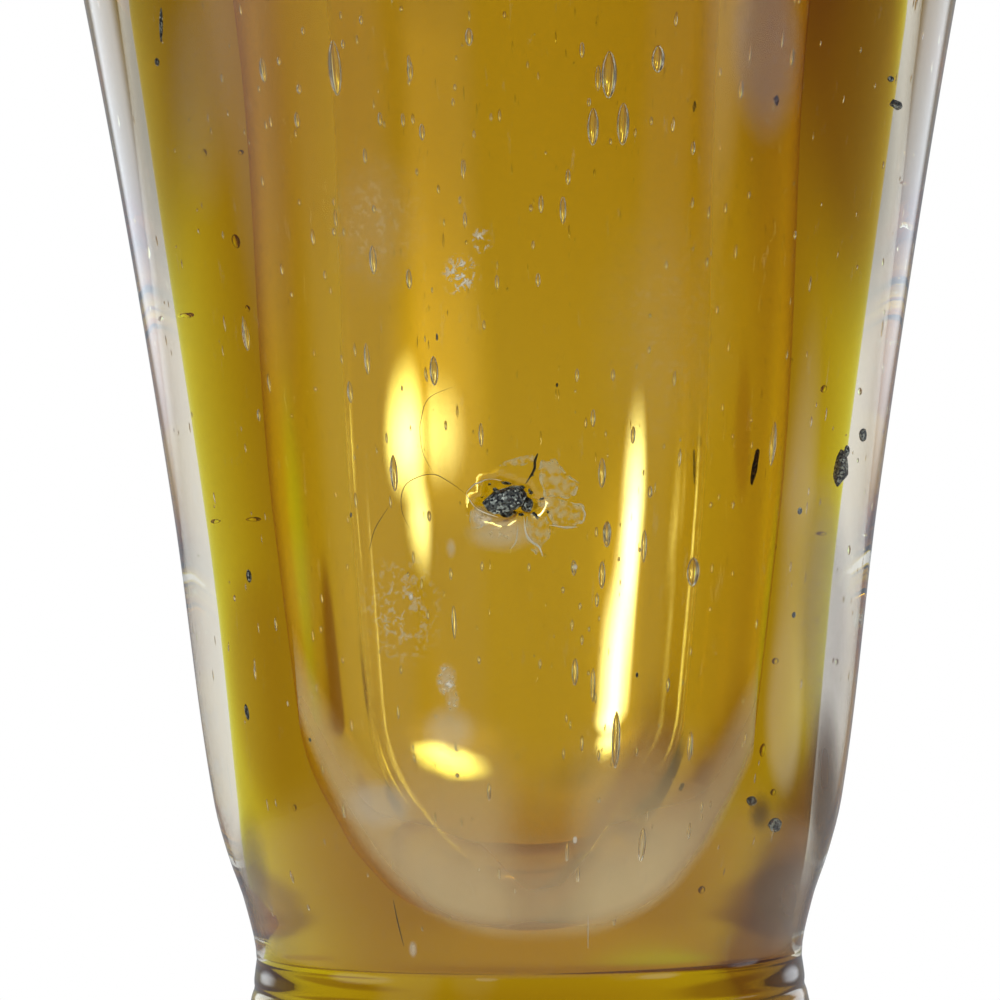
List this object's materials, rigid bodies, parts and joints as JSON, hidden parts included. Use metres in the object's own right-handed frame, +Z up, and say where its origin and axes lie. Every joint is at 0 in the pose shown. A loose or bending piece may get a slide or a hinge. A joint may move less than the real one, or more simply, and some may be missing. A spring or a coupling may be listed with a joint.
{
  "type": "trumpet vase",
  "caption": "Trumpet vase of heavy cased glass, clear over amber, with a waist, a spreading foot, trapped bubbles and dark stones in the glass.",
  "frame": {"origin": "on the table, under the middle of the foot", "axes": "+Z up along the axis of the vase; the front, which the picture shows, faces -Y, and +X is on the right of the picture"},
  "size_m": [0.138, 0.138, 0.225],
  "materials": {
    "clear_glass": "fire-polished clear glass with seeds and small bubbles",
    "amber_glass": "transparent amber glass, fire-polished inside the hollow",
    "dark_stone": "rough, dark grey-brown crystalline lump"
  },
  "bodies": {
    "root": {"body_casing": "clear_glass", "body_lining": "amber_glass", "foot_casing": "clear_glass", "foot_core": "amber_glass", "front_stone": "dark_stone", "right_stone": "dark_stone", "lower_right_stone": "dark_stone", "upper_right_stone": "dark_stone"}
  },
  "joints": []
}
